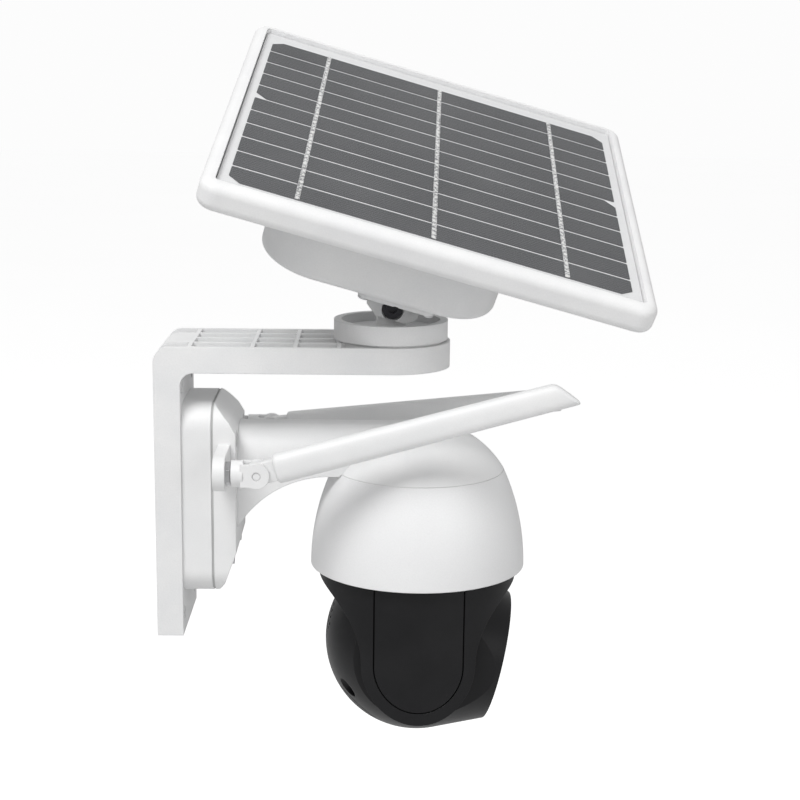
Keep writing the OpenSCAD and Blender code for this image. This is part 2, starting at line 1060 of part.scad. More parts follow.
module box_screws() {
  color("silver")
  in_box(frame_low + back_t)
    box_post_spots()
      screw(1.2, back_t + 9, 2.6, 1.4);
}

// ---------- solar panel ----------

module in_frame(z) {
  on_panel()
    translate([panel_x, panel_y, z])
      children();
}

// section of the frame: rounded outside, stepped inside for the sheet and the back cover
module frame_section() {
  outer = frame_corner;
  difference() {
    union() {
      square([outer - frame_edge, frame_t]);
      translate([outer - frame_edge, frame_edge])
        square([frame_edge, frame_t - 2 * frame_edge]);
      for (z = [frame_edge, frame_t - frame_edge])
        intersection() {
          translate([outer - frame_edge, z])
            circle(r = frame_edge);
          translate([outer - frame_edge - eps, 0])
            square([frame_edge + 1, frame_t]);
        }
    }
    translate([-1, sheet_low - frame_low])
      square([outer - rim + 1, frame_t]);
    translate([-1, -1])
      square([outer - rim - back_in + 1, back_t + 1]);
  }
}

module panel_frame() {
  color("white")
  in_frame(frame_low)
    ring_wall(panel_l, panel_w, frame_corner)
      frame_section();
}

module panel_back() {
  color("whitesmoke")
  difference() {
    union() {
      in_frame(frame_low)
        linear_extrude(back_t)
          rounded_rect(sheet_l - 2 * back_in - 0.4, sheet_w - 2 * back_in - 0.4, sheet_corner - back_in - 0.2);
      // stiffening ribs on the inner side
      for (k = [-2:2])
        in_frame(frame_low + back_t - eps)
          translate([k * 26 - 0.8, -sheet_w / 2 + 12, 0])
            cube([1.6, sheet_w - 24, 3]);
    }
    in_box(frame_low - 1)
      box_post_spots()
        cylinder(r = 1.4, h = 10);
    in_box(frame_low + back_t)
      box_post_spots()
        cylinder(r = 3.2, h = 10);
    in_box(frame_low - 1)
      cylinder(r = 6, h = 10);
  }
}

module back_sheet() {
  color("white")
  in_frame(sheet_low)
    linear_extrude(sheet_t)
      rounded_rect(sheet_l - 0.8, sheet_w - 0.8, sheet_corner - 0.4);
}

function strip_y(k) = cell_shift - cell_area_w / 2 + (k + 0.5) * cell_pitch;

module strip(k) {
  half_l = cell_l / 2;
  half_w = (cell_pitch - cell_gap) / 2;
  split = ceil(cell_strips / 2);
  cut_low_left = k == 0 || k == split ? cell_cut : 0;
  cut_low_right = k == 0 ? cell_cut : 0;
  cut_high_left = k == cell_strips - 1 ? cell_cut : 0;
  cut_high_right = k == cell_strips - 1 || k == split - 1 ? cell_cut : 0;
  translate([0, strip_y(k)])
    polygon([
      [-half_l + cut_low_left, -half_w], [half_l - cut_low_right, -half_w],
      [half_l, -half_w + cut_low_right], [half_l, half_w - cut_high_right],
      [half_l - cut_high_right, half_w], [-half_l + cut_high_left, half_w],
      [-half_l, half_w - cut_high_left], [-half_l, -half_w + cut_low_left]
    ]);
}

module solar_cells() {
  color("dimgray")
  in_frame(sheet_low + sheet_t)
    for (k = [0:cell_strips - 1])
      linear_extrude(cell_t)
        strip(k);
}

module busbars() {
  color("silver")
  in_frame(sheet_low + sheet_t + cell_t)
    for (k = [0:bus_count - 1])
      translate([(k - (bus_count - 1) / 2) * cell_l / bus_count - bus_w / 2, cell_shift - cell_area_w / 2 + 1, 0])
        cube([bus_w, cell_area_w - 2, bus_t]);
}

module cover_sheet() {
  color("aliceblue")
  in_frame(sheet_low + sheet_t + cell_t + bus_t)
    linear_extrude(cover_t)
      rounded_rect(sheet_l - 0.8, sheet_w - 0.8, sheet_corner - 0.4);
}

// ---------- pan drive and yoke ----------

module at_axis() {
  translate([pan_reach, 0, axis_z])
    children();
}

module yoke_side() {
  rise = table_top - axis_z;
  circle(r = yoke_end_r);
  difference() {
    translate([-yoke_r, 0])
      square([2 * yoke_r, rise]);
    for (s = [-1, 1])
      translate([s * (yoke_end_r + flare_r), 0])
        circle(r = flare_r);
  }
}

// flat outline of a yoke cover, round below, straight above
module cover_outline(grow) {
  circle(r = cover_r + grow);
  translate([-cover_r - grow, 0])
    square([2 * (cover_r + grow), cover_up + grow]);
}

// pushes an outline in the XZ plane from one depth to another on the near side (-Y) or far side
module through_arm(side, from_y, to_y) {
  rotate([90, 0, 0])
    translate([0, 0, side > 0 ? -to_y : from_y])
      linear_extrude(to_y - from_y)
        children();
}

module yoke() {
  hub_top = plate_low + collar_h + 0.3;
  wall_in = arm_in + arm_wall;
  color("black")
  difference() {
    union() {
      difference() {
        intersection() {
          at_axis()
            translate([0, 0, -yoke_end_r - 1])
              cylinder(r = yoke_r, h = table_top - axis_z + yoke_end_r + 1, $fn = 144);
          at_axis()
            rotate([90, 0, 0])
              linear_extrude(2 * yoke_r, center = true)
                yoke_side();
        }
        intersection() {
          translate([pan_reach - 50, -arm_in, axis_z - 40])
            cube([100, 2 * arm_in, table_low - axis_z + 40]);
          translate([pan_reach, 0, axis_z - 40])
            cylinder(r = yoke_r - 2.6, h = 100, $fn = 144);
        }
        // sunken beds and hollows behind the two covers
        for (side = [-1, 1]) {
          at_axis()
            difference() {
              through_arm(side, wall_in, yoke_r + 1)
                cover_outline(cover_groove);
              translate([0, 0, -50])
                cylinder(r = yoke_r - cover_wall, h = 150, $fn = 144);
            }
          at_axis()
            through_arm(side, wall_in, yoke_r + 1)
              cover_outline(-1.6);
        }
      }
      translate([pan_reach, 0, table_top - eps])
        cylinder(r = hub_r, h = hub_top - table_top);
      // posts for the tilt motor
      at_axis()
        for (s = [-1, 1])
          translate([s * 10.4, -wall_in + eps, tilt_gap + 7.6])
            rotate([90, 0, 0])
              cylinder(r = 1.9, h = gear_t + 0.8);
    }
    translate([pan_reach, 0, table_low - 1])
      cylinder(r = hub_bore, h = 40);
    at_axis()
      rotate([90, 0, 0])
        cylinder(r = trunnion_r + run_gap, h = 2 * wall_in + 2, center = true);
  }
}

module yoke_cover(side) {
  color("black")
  at_axis()
    intersection() {
      through_arm(side, arm_in, yoke_r + 1)
        cover_outline(0);
      translate([0, 0, -50])
        difference() {
          cylinder(r = yoke_r, h = 150, $fn = 144);
          translate([0, 0, -1])
            cylinder(r = yoke_r - cover_wall, h = 152, $fn = 144);
        }
    }
}

module yoke_cover_near() {
  yoke_cover(-1);
}

module yoke_cover_far() {
  yoke_cover(1);
}

module pan_gear() {
  color("ivory")
  translate([pan_reach, 0, table_top])
    rotate([0, 0, 180])
      spur_gear(pan_teeth, pan_gear_t, hub_r + 0.02);
}

module pan_retainer() {
  color("dimgray")
  translate([pan_reach, 0, plate_low + collar_h + 0.3])
    difference() {
      cylinder(r = collar_r - 0.8, h = 2);
      translate([0, 0, -1])
        cylinder(r = hub_bore, h = 4);
    }
}

module pan_pinion() {
  color("ivory")
  translate([pan_reach - pan_gap, 0, table_top + 0.2]) {
    rotate([0, 0, 180 / pan_pin_teeth])
      spur_gear(pan_pin_teeth, pan_gear_t - 0.2, eps);
    cylinder(r = pin_shaft_r, h = pan_gear_t + 7);
  }
}

module tilt_motor() {
  front = gear_y + gear_t + 0.5;
  color("silver")
  at_axis()
    translate([0, -front, tilt_gap])
      rotate([90, 0, 0])
        difference() {
          union() {
            cylinder(r = flat_motor_r - 0.5, h = flat_motor_t);
            translate([0, 7.6, 0])
              linear_extrude(0.8)
                rounded_rect(25, 4.4, 2.1);
          }
          translate([0, 0, -1])
            cylinder(r = pin_shaft_r + run_gap, h = flat_motor_t);
        }
}

module tilt_pinion() {
  color("ivory")
  at_axis()
    translate([0, -gear_y, tilt_gap])
      rotate([90, 0, 0]) {
        rotate([0, 0, -90 + 180 / tilt_pin_teeth])
          spur_gear(tilt_pin_teeth, gear_t, eps);
        cylinder(r = pin_shaft_r, h = gear_t + 2.8);
      }
}

// ---------- head ----------

// at the tilt axis, X along the line of sight
module in_head() {
  at_axis()
    rotate([0, head_tilt, 0])
      children();
}

// half section of the head: a ball that runs into a cone and ends in a flat face
module head_section(t) {
  r = head_r - t;
  cone_up = r * sin(cone_slope);
  cone_out = r * cos(cone_slope);
  face_out = cone_out - (face_reach - cone_up) * tan(cone_slope);
  intersection() {
    circle(r = r);
    translate([0, -r])
      square([r, r + cone_up]);
  }
  polygon([[0, cone_up], [cone_out, cone_up], [face_out, face_reach], [0, face_reach]]);
}

// solid of the head, thinned by t; the sweep of its round starts at the angle given
module head_body(t, front_x, start = 90) {
  intersection() {
    rotate([start, 0, 0])
      rotate([0, 90, 0])
        rotate_extrude($fn = 96)
          head_section(t);
    translate([-60, -head_w / 2 + t, -60])
      cube([60 + front_x, head_w - 2 * t, 120]);
  }
}

module boss_spots(x) {
  for (sy = [-1, 1], sz = [-1, 1])
    translate([x, sy * screw_y, sz * screw_z])
      rotate([0, 90, 0])
        children();
}

// looking out through the card opening
module at_plug() {
  rotate([0, 90 - plug_angle, 0])
    children();
}

module head_rear_shell() {
  color("black")
  in_head()
    difference() {
      intersection() {
        union() {
          difference() {
            head_body(0, seam_x, 0);
            head_body(shell_t, seam_x + 1, 0);
          }
          boss_spots(-60)
            cylinder(r = 3.8, h = 60 + seam_x);
        }
        head_body(0, seam_x, 0);
      }
      boss_spots(-60)
        cylinder(r = 2.9, h = 52);
      boss_spots(-10)
        cylinder(r = 1.5, h = 20);
      at_plug()
        translate([0, 0, 20])
          linear_extrude(30)
            rounded_rect(plug_w + 2 * plug_gap, plug_l + 2 * plug_gap, plug_w / 2 - 0.4);
      rotate([90, 0, 0])
        cylinder(r = trunnion_r + 0.02, h = head_w + 2, center = true);
      // speaker grille
      for (i = [-3:3], j = [-3:3])
        if (pow(i + j / 2, 2) + 0.75 * j * j < 9.5)
          translate([-50, grille_pitch * (i + j / 2), grille_pitch * 0.866 * j])
            rotate([0, 90, 0])
              cylinder(r = 0.65, h = 30, $fn = 16);
    }
}

module head_front_shell() {
  boss_h = 9;
  web_t = 2.4;
  color("black")
  in_head()
    difference() {
      union() {
        difference() {
          intersection() {
            head_body(0, face_reach);
            translate([seam_x, -60, -60])
              cube([60, 120, 120]);
          }
          head_body(shell_t, window_x - 1.4);
        }
        boss_spots(seam_x)
          cylinder(r = 3.4, h = boss_h);
        for (sy = [-1, 1], sz = [-1, 1])
          translate([seam_x, sy > 0 ? screw_y : -head_w / 2 + 1, sz * screw_z - web_t / 2])
            cube([boss_h, head_w / 2 - 1 - screw_y, web_t]);
      }
      boss_spots(seam_x - 1)
        cylinder(r = 1.25, h = boss_h);
      translate([window_x, 0, 0])
        rotate([0, 90, 0])
          cylinder(r = window_r + 0.05, h = 5);
      translate([window_x - 4, 0, 0])
        rotate([0, 90, 0])
          cylinder(r = window_r - 1.6, h = 8);
      rotate([90, 0, 0])
        cylinder(r = trunnion_r + 0.02, h = head_w + 2, center = true);
    }
}

module front_window() {
  color("darkslategray")
  in_head()
    translate([window_x, 0, 0])
      rotate([0, 90, 0])
        cylinder(r = window_r, h = window_t);
}

module trunnions() {
  flange_r = 7.5;
  flange_t = 1.5;
  near_end = gear_y + gear_t;
  far_end = arm_in + arm_wall + 1;
  inner = head_w / 2 - shell_t - flange_t;
  color("silver")
  in_head() {
    rotate([90, 0, 0])
      translate([0, 0, inner]) {
        cylinder(r = flange_r, h = flange_t);
        cylinder(r = trunnion_r, h = near_end - inner);
      }
    rotate([-90, 0, 0])
      translate([0, 0, inner]) {
        cylinder(r = flange_r, h = flange_t);
        cylinder(r = trunnion_r, h = far_end - inner);
      }
  }
}

module tilt_gear() {
  color("ivory")
  at_axis()
    translate([0, -gear_y, 0])
      rotate([90, 0, 0])
        rotate([0, 0, 90])
          spur_gear(tilt_teeth, gear_t, trunnion_r + 0.02);
}

module shell_screws() {
  color("silver")
  in_head()
    boss_spots(-8)
      rotate([180, 0, 0])
        screw(1.2, 8 + seam_x + 6, 2.6, 1.6);
}

module lens_barrel() {
  color("black")
  in_head()
    translate([12.8, 0, 0])
      rotate([0, 90, 0])
        difference() {
          union() {
            cylinder(r = 9, h = 9);
            cylinder(r = 7.6, h = 15.6);
          }
          translate([0, 0, 13.6])
            cylinder(r = 6, h = 3);
        }
}

module lens_glass() {
  color("midnightblue")
  in_head()
    translate([12.8 + 13.6, 0, 0])
      rotate([0, 90, 0])
        intersection() {
          cylinder(r = 5.9, h = 2.6);
          translate([0, 0, -9.4])
            sphere(r = 12);
        }
}

module led_board() {
  color("darkgreen")
  in_head()
    translate([24, 0, 0])
      rotate([0, 90, 0])
        difference() {
          cylinder(r = window_r - 2.2, h = 1.4);
          translate([0, 0, -1])
            cylinder(r = 9.4, h = 4);
        }
}

// eight lamps around the lens
module lamp_leds() {
  color("lightyellow")
  in_head()
    translate([25.4, 0, 0])
      rotate([0, 90, 0])
        for (k = [0:7])
          rotate([0, 0, k * 45 + 22.5])
            translate([14.6, 0, 0]) {
              cylinder(r = 2.3, h = 1.6);
              translate([0, 0, 1.7])
                sphere(r = 1.6);
            }
}

module sensor_board() {
  color("darkgreen")
  in_head()
    translate([11.2, -13, -13])
      cube([1.6, 26, 26]);
}

module speaker() {
  color("dimgray")
  in_head()
    rotate([0, -90, 0])
      translate([0, 0, 26]) {
        cylinder(r = 12, h = 4.5);
        translate([0, 0, -4])
          cylinder(r = 7, h = 5);
      }
}

module card_board() {
  color("darkgreen")
  in_head()
    at_plug()
      difference() {
        union() {
          translate([-8, -13, 24])
            cube([16, 26, 1.6]);
          translate([-7, -3, 25.6 - eps])
            cube([14, 15, 1.8]);
          translate([-2.5, -11, 25.6 - eps])
            cube([5, 5, 3]);
        }
        translate([0, -8.5, 26])
          cylinder(r = 1.05, h = 5);
      }
}

module reset_button() {
  color("white")
  in_head()
    at_plug()
      translate([0, -8.5, 26.6])
        cylinder(r = 1, h = 3.2);
}

module card_plug() {
  color("black")
  in_head()
    at_plug()
      difference() {
        intersection() {
          difference() {
            sphere(r = head_r, $fn = 144);
            sphere(r = head_r - plug_t, $fn = 144);
          }
          translate([0, 0, 20])
            linear_extrude(30)
              rounded_rect(plug_w, plug_l, plug_w / 2 - 0.8);
        }
        // finger notch
        translate([-4.4, -13, 31])
          rotate([0, 0, 20])
            cube([4, 1.8, 6], center = true);
      }
}

// ---------- antennas ----------

// side is -1 for the near antenna and 1 for the far one
module at_elbow(side) {
  translate([antenna_x, side * antenna_y, antenna_z])
    children();
}

module barrel(side) {
  back = ear_x + ear_t + 2.1 - antenna_x;
  front = -fork_r;
  tine_in = tang_t / 2 + fork_gap;
  tine_t = 2.2;
  color("whitesmoke")
  at_elbow(side)
    difference() {
      union() {
        translate([back, 0, 0])
          rotate([0, 90, 0])
            cylinder(r = fork_r, h = front - back);
        for (s = [-1, 1]) {
          translate([0, s * (tine_in + tine_t / 2), 0])
            rotate([90, 0, 0])
              cylinder(r = fork_r - 0.2, h = tine_t, center = true);
          translate([front - 1, s > 0 ? tine_in : -tine_in - tine_t, -fork_r + 0.8])
            cube([fork_r + 1, tine_t, 2 * fork_r - 1.6]);
        }
      }
      translate([back - 1, 0, 0])
        rotate([0, 90, 0])
          cylinder(r = stub_r + run_gap, h = front - back + 0.4);
      rotate([90, 0, 0])
        cylinder(r = hinge_r + run_gap, h = 20, center = true);
    }
}

module blade(side, rise) {
  root = fork_r + 2;
  slant = 8;
  half = antenna_w / 2;
  color("whitesmoke")
  at_elbow(side)
    rotate([0, -rise, 0]) {
      rotate([90, 0, 0]) {
        cylinder(r = fork_r - 0.5, h = tang_t, center = true);
        cylinder(r = hinge_r, h = tang_t + 4.2, center = true);
        linear_extrude(tang_t, center = true)
          translate([0, -fork_r + 1])
            square([root + 2, 2 * fork_r - 2]);
        linear_extrude(blade_t - 2, center = true)
          polygon([
            [root, -half], [antenna_l, -half + 0.6],
            [antenna_l - slant, half - 0.6], [root, half]
          ]);
        linear_extrude(blade_t, center = true)
          polygon([
            [root + 1, -half + 1], [antenna_l - 2, -half + 1.6],
            [antenna_l - slant - 0.4, half - 1.6], [root + 1, half - 1]
          ]);
      }
    }
}

module antenna_near_barrel() {
  barrel(-1);
}

module antenna_near_blade() {
  blade(-1, near_rise);
}

module antenna_far_barrel() {
  barrel(1);
}

module antenna_far_blade() {
  blade(1, far_rise);
}

l_bracket();
camera_base();
base_cover();
base_seal();
cover_screws();
base_gland();
camera_arm();
dome_shell();
motor_plate();
plate_screws();
pan_motor();
pan_bearing();
main_board();
slip_ring();
antenna_connectors();
swivel_disc();
swivel_bolt();
tilt_saddle();
tilt_bolt();
tilt_nut();
saddle_screws();
battery_box();
box_seal();
battery_cells();
charge_board();
box_screws();
box_gland();
panel_frame();
panel_back();
back_sheet();
solar_cells();
busbars();
cover_sheet();
yoke();
yoke_cover_near();
yoke_cover_far();
pan_gear();
pan_retainer();
tilt_motor();
pan_pinion();
tilt_pinion();
head_rear_shell();
head_front_shell();
trunnions();
tilt_gear();
shell_screws();
front_window();
lens_barrel();
lens_glass();
led_board();
lamp_leds();
sensor_board();
speaker();
card_board();
card_plug();
reset_button();
antenna_near_barrel();
antenna_near_blade();
antenna_far_barrel();
antenna_far_blade();
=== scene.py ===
# %% [markdown]
# # A solar security camera, finished in Blender
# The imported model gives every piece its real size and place. This lesson adds what a factory adds:
# the grain of the mouldings, the lines on the solar cells, the soft edges, and the studio.
# Everything is in metres. X points away from the wall, Z is up.

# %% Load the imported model
import bpy
import bmesh
import math
from mathutils import Matrix, Vector


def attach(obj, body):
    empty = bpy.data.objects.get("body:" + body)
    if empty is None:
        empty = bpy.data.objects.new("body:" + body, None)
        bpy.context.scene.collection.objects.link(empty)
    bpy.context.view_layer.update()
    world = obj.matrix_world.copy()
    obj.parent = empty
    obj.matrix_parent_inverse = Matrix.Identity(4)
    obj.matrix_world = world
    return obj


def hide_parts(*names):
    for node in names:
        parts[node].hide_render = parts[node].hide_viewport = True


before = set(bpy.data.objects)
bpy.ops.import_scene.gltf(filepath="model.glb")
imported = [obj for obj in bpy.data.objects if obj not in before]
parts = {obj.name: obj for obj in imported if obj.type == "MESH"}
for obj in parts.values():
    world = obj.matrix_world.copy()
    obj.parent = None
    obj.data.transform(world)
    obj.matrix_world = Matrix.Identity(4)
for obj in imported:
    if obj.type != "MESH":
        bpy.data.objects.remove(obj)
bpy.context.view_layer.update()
scene = bpy.context.scene
MM = 0.001
print("pieces in the packed model:", len(parts))

# %% [markdown]
# ## The sizes this lesson needs
# A few places are written here as numbers that match the imported model, so the new pieces sit where the
# solids are.
# The panel leans two ways; one rotation turns its own directions into the room's directions.

# %% Places and directions
PANEL_TURN = math.radians(2.7)
PANEL_TILT = math.radians(15.7)
PANEL_LEAN = math.radians(19.4)
panel_turned = (Matrix.Rotation(PANEL_TURN, 4, "Z") @ Matrix.Rotation(PANEL_TILT, 4, "Y")
                @ Matrix.Rotation(PANEL_LEAN, 4, "X"))
tilt_bolt_at = Vector((0.089, 0, 0.074))
panel_place = Matrix.Translation(tilt_bolt_at) @ panel_turned
print("panel bolt at", tuple(round(v, 3) for v in tilt_bolt_at))

# %% [markdown]
# ## Writing shader maths as plain Python
# A node tree is easier to read as a formula. `Wire` wraps one socket: `a * 2 + b` adds the Math nodes.
# `Finish` is one material. Its `node` method makes any other node from a type, its settings and its inputs.

# %% A socket that does arithmetic
class Wire:
    def __init__(self, finish, socket):
        self.finish = finish
        self.socket = socket

    def maths(self, operation, *others):
        return self.finish.node("ShaderNodeMath", {"operation": operation}, (self, *others))

    def __add__(self, other):
        return self.maths("ADD", other)

    def __sub__(self, other):
        return self.maths("SUBTRACT", other)

    def __mul__(self, other):
        return self.maths("MULTIPLY", other)

    def __radd__(self, other):
        return self.maths("ADD", other)

    def __rsub__(self, other):
        return self.finish.node("ShaderNodeMath", {"operation": "SUBTRACT"}, (other, self))

    def __rmul__(self, other):
        return self.maths("MULTIPLY", other)

    def over(self, low, high):
        """0 below low, 1 above high, a soft step between."""
        return self.finish.node("ShaderNodeMapRange", {"interpolation_type": "SMOOTHSTEP"},
                                {"Value": self, "From Min": low, "From Max": high}, "Result")


# %% A material that is built node by node
class Finish:
    def __init__(self, name):
        self.material = bpy.data.materials.new(name)
        self.material.use_nodes = True
        self.tree = self.material.node_tree
        self.tree.nodes.clear()
        self.surface = self.tree.nodes.new("ShaderNodeBsdfPrincipled")
        out = self.tree.nodes.new("ShaderNodeOutputMaterial")
        self.tree.links.new(self.surface.outputs[0], out.inputs["Surface"])

    def feed(self, socket, value):
        if isinstance(value, Wire):
            self.tree.links.new(value.socket, socket)
        else:
            socket.default_value = value

    def node(self, kind, settings=None, inputs=(), output=0):
        made = self.tree.nodes.new(kind)
        for key, value in (settings or {}).items():
            setattr(made, key, value)
        pairs = inputs.items() if isinstance(inputs, dict) else enumerate(inputs)
        for key, value in pairs:
            self.feed(made.inputs[key], value)
        return Wire(self, made.outputs[output])

    def place(self):
        """Where the point is on the piece, in metres."""
        return self.node("ShaderNodeTexCoord", output="Object")

    def split(self, vector):
        made = self.tree.nodes.new("ShaderNodeSeparateXYZ")
        self.feed(made.inputs[0], vector)
        return [Wire(self, made.outputs[k]) for k in range(3)]

    def noise(self, vector, scale, detail=2.0, rough=0.5):
        return self.node("ShaderNodeTexNoise", {}, {"Vector": vector, "Scale": scale, "Detail": detail,
                                                   "Roughness": rough}, "Fac")

    def blend(self, amount, first, second):
        made = self.tree.nodes.new("ShaderNodeMix")
        made.data_type = "RGBA"
        self.feed(made.inputs["Factor"], amount)
        for key, value in ((6, first), (7, second)):
            self.feed(made.inputs[key], value if isinstance(value, Wire) else (*value, 1))
        return Wire(self, made.outputs[2])

    def soft_edges(self, radius):
        return self.node("ShaderNodeBevel", {"samples": 4}, {"Radius": radius}, "Normal")

    def bump(self, height, distance, strength=1.0, normal=None):
        inputs = {"Height": height, "Distance": distance, "Strength": strength}
        if normal is not None:
            inputs["Normal"] = normal
        return self.node("ShaderNodeBump", {}, inputs, "Normal")

    def set(self, **values):
        names = {"colour": "Base Color", "rough": "Roughness", "metal": "Metallic", "normal": "Normal",
                 "alpha": "Alpha", "coat": "Coat Weight", "specular": "Specular IOR Level",
                 "glow": "Emission Color"}
        for key, value in values.items():
            if key == "colour" and not isinstance(value, Wire):
                value = (*value, 1)
            self.feed(self.surface.inputs[names[key]], value)
        return self


print("shader helpers ready")

# %% [markdown]
# ## Moulded plastic
# Outdoor housings are moulded in a spark-eroded tool, which leaves a fine even grain. The grain is a
# bump a few hundredths of a millimetre deep. Colour drifts very slightly, and every edge is a little
# round because no tool has a perfectly sharp corner.

# %% The white and black mouldings
def moulded(name, light, dark, grain_mm, depth_mm, rough, edge_mm, drift_mm=18, gloss=0.42):
    f = Finish(name)
    at = f.place()
    grain = f.noise(at, 1 / (grain_mm * MM), 2.0, 0.6)
    drift = f.noise(at, 1 / (drift_mm * MM), 3.0)
    wear = f.noise(at, 1 / (1.7 * MM), 4.0, 0.7)
    colour = f.blend(drift.over(0.3, 0.7), dark, light)
    speck = (grain - 0.5) * 0.10
    tone = f.node("ShaderNodeHueSaturation", {}, {"Color": colour, "Value": speck + 1.0}, 0)
    roughness = (wear - 0.5) * 0.10 + (grain - 0.5) * 0.12 + rough
    normal = f.bump(grain, depth_mm * MM, 0.7, f.soft_edges(edge_mm * MM))
    return f.set(colour=tone, rough=roughness, normal=normal, specular=gloss).material


bracket_white = moulded("bracket_white", (0.80, 0.80, 0.80), (0.76, 0.765, 0.77), 0.55, 0.07, 0.52, 0.45)
housing_white = moulded("housing_white", (0.82, 0.82, 0.82), (0.785, 0.788, 0.79), 0.35, 0.022, 0.46, 0.55)
dome_white = moulded("dome_white", (0.82, 0.822, 0.825), (0.80, 0.80, 0.805), 0.5, 0.008, 0.34, 0.5, 40)
frame_white = moulded("frame_white", (0.84, 0.84, 0.84), (0.80, 0.80, 0.805), 0.5, 0.03, 0.48, 0.5)
housing_black = moulded("housing_black", (0.010, 0.010, 0.011), (0.007, 0.007, 0.008), 0.4, 0.03, 0.42, 0.5,
                        gloss=0.24)
head_black = moulded("head_black", (0.008, 0.008, 0.009), (0.006, 0.006, 0.007), 0.45, 0.022, 0.34, 0.4,
                     gloss=0.28)
button_white = moulded("button_white", (0.72, 0.72, 0.70), (0.68, 0.68, 0.67), 0.4, 0.02, 0.5, 0.15)
gear_acetal = moulded("gear_acetal", (0.80, 0.77, 0.67), (0.75, 0.72, 0.62), 0.6, 0.01, 0.38, 0.1)
seal_rubber = moulded("seal_rubber", (0.045, 0.045, 0.045), (0.03, 0.03, 0.03), 0.7, 0.06, 0.75, 0.2)
seal_grey = moulded("seal_grey", (0.50, 0.50, 0.50), (0.44, 0.44, 0.44), 0.7, 0.05, 0.7, 0.2)
chip_black = moulded("chip_black", (0.03, 0.03, 0.032), (0.02, 0.02, 0.022), 0.3, 0.02, 0.5, 0.15)
print("moulded finishes:", len(bpy.data.materials))

# %% [markdown]
# ## Metal, boards and cell sleeves
# Turned and rolled metal has fine streaks, boards have tracks under green lacquer, and the battery
# cells wear a shrunk sleeve with faint wrinkles.

# %% Metals
def worked_metal(name, colour, rough, streak_mm, edge_mm=0.15):
    f = Finish(name)
    at = f.place()
    stretched = f.node("ShaderNodeMapping", {}, {"Vector": at, "Scale": (1.0, 1.0, 12.0)})
    streak = f.noise(stretched, 1 / (streak_mm * MM), 3.0, 0.6)
    stain = f.noise(at, 1 / (3 * MM), 3.0)
    dull = tuple(c * 0.8 for c in colour)
    mixed = f.blend(stain.over(0.35, 0.75), colour, dull)
    roughness = (streak - 0.5) * 0.2 + (stain - 0.5) * 0.1 + rough
    normal = f.bump(streak, 0.006 * MM, 0.6, f.soft_edges(edge_mm * MM))
    return f.set(colour=mixed, rough=roughness, metal=1.0, normal=normal).material


screw_steel = worked_metal("screw_steel", (0.60, 0.60, 0.61), 0.32, 0.5)
drive_metal = worked_metal("drive_metal", (0.72, 0.72, 0.74), 0.36, 0.8)
dark_bolt = worked_metal("dark_bolt", (0.06, 0.06, 0.065), 0.42, 0.6)


# %% Boards and sleeves
def lacquered_board():
    f = Finish("board_green")
    at = f.place()
    x, y, z = f.split(at)
    run = (x + z) * (1 / (1.27 * MM))
    tracks = run.maths("FRACT").over(0.35, 0.45) * (1 - run.maths("FRACT").over(0.75, 0.85))
    patch = f.noise(at, 1 / (6 * MM), 1.0).over(0.48, 0.52)
    pattern = tracks * patch
    colour = f.blend(pattern, (0.015, 0.10, 0.045), (0.03, 0.19, 0.08))
    grime = f.noise(at, 1 / (2 * MM), 3.0)
    normal = f.bump(pattern, 0.03 * MM, 0.5, f.soft_edges(0.1 * MM))
    return f.set(colour=colour, rough=grime * 0.15 + 0.25, normal=normal, coat=0.5).material


def shrunk_sleeve():
    f = Finish("cell_sleeve")
    at = f.place()
    along_cell = f.node("ShaderNodeMapping", {}, {"Vector": at, "Scale": (0.3, 1.0, 1.0)})
    wrinkle = f.noise(along_cell, 1 / (1.5 * MM), 3.0)
    tint = f.noise(at, 1 / (12 * MM), 2.0)
    colour = f.blend(tint, (0.03, 0.12, 0.30), (0.05, 0.17, 0.38))
    normal = f.bump(wrinkle, 0.05 * MM, 0.5)
    return f.set(colour=colour, rough=tint * 0.1 + 0.25, normal=normal, coat=0.4).material


board_green = lacquered_board()
cell_sleeve = shrunk_sleeve()
print("boards and sleeves ready")

# %% [markdown]
# ## The solar panel's own finishes
# A crystalline cell is dark grey with hair-thin silver lines across its busbars. The clear top sheet
# has a fine cast texture, so it scatters the sky instead of mirroring it.

# %% Cells, ribbons and the sheets
to_panel = panel_place.inverted()


def on_panel(f):
    """The point in the panel's own directions: X along the busbars' row, Y down the strips, Z out."""
    turn = to_panel.to_euler("XYZ")
    return f.node("ShaderNodeMapping", {}, {"Vector": f.place(), "Rotation": tuple(turn),
                                            "Location": tuple(to_panel.to_translation())})


def silicon():
    f = Finish("cell_silicon")
    at = on_panel(f)
    x, y, z = f.split(at)
    finger = (y * (1 / (1.55 * MM))).maths("FRACT")
    line = finger.over(0.40, 0.46) * (1 - finger.over(0.54, 0.60))
    drift = f.noise(at, 1 / (30 * MM), 2.0)
    fine = f.noise(at, 1 / (0.6 * MM), 3.0, 0.7)
    dark = f.blend(drift, (0.040, 0.042, 0.046), (0.056, 0.058, 0.062))
    worked = f.blend(fine.over(0.3, 0.8) * 0.35, dark, (0.12, 0.12, 0.125))
    colour = f.blend(line * 0.35, worked, (0.30, 0.30, 0.31))
    etched = f.bump(fine, 0.01 * MM, 0.4)
    return f.set(colour=colour, rough=fine * 0.1 + 0.5, normal=etched, specular=0.1).material


def ribbon():
    f = Finish("busbar_ribbon")
    at = on_panel(f)
    fine = f.noise(at, 1 / (0.5 * MM), 3.0, 0.8)
    blot = f.noise(at, 1 / (1.1 * MM), 2.0, 0.6)
    colour = f.blend(blot.over(0.42, 0.58), (0.25, 0.25, 0.26), (0.70, 0.70, 0.70))
    tinned = f.bump(blot, 0.1 * MM, 0.8)
    return f.set(colour=colour, rough=fine * 0.2 + 0.4, metal=0.25, normal=tinned).material


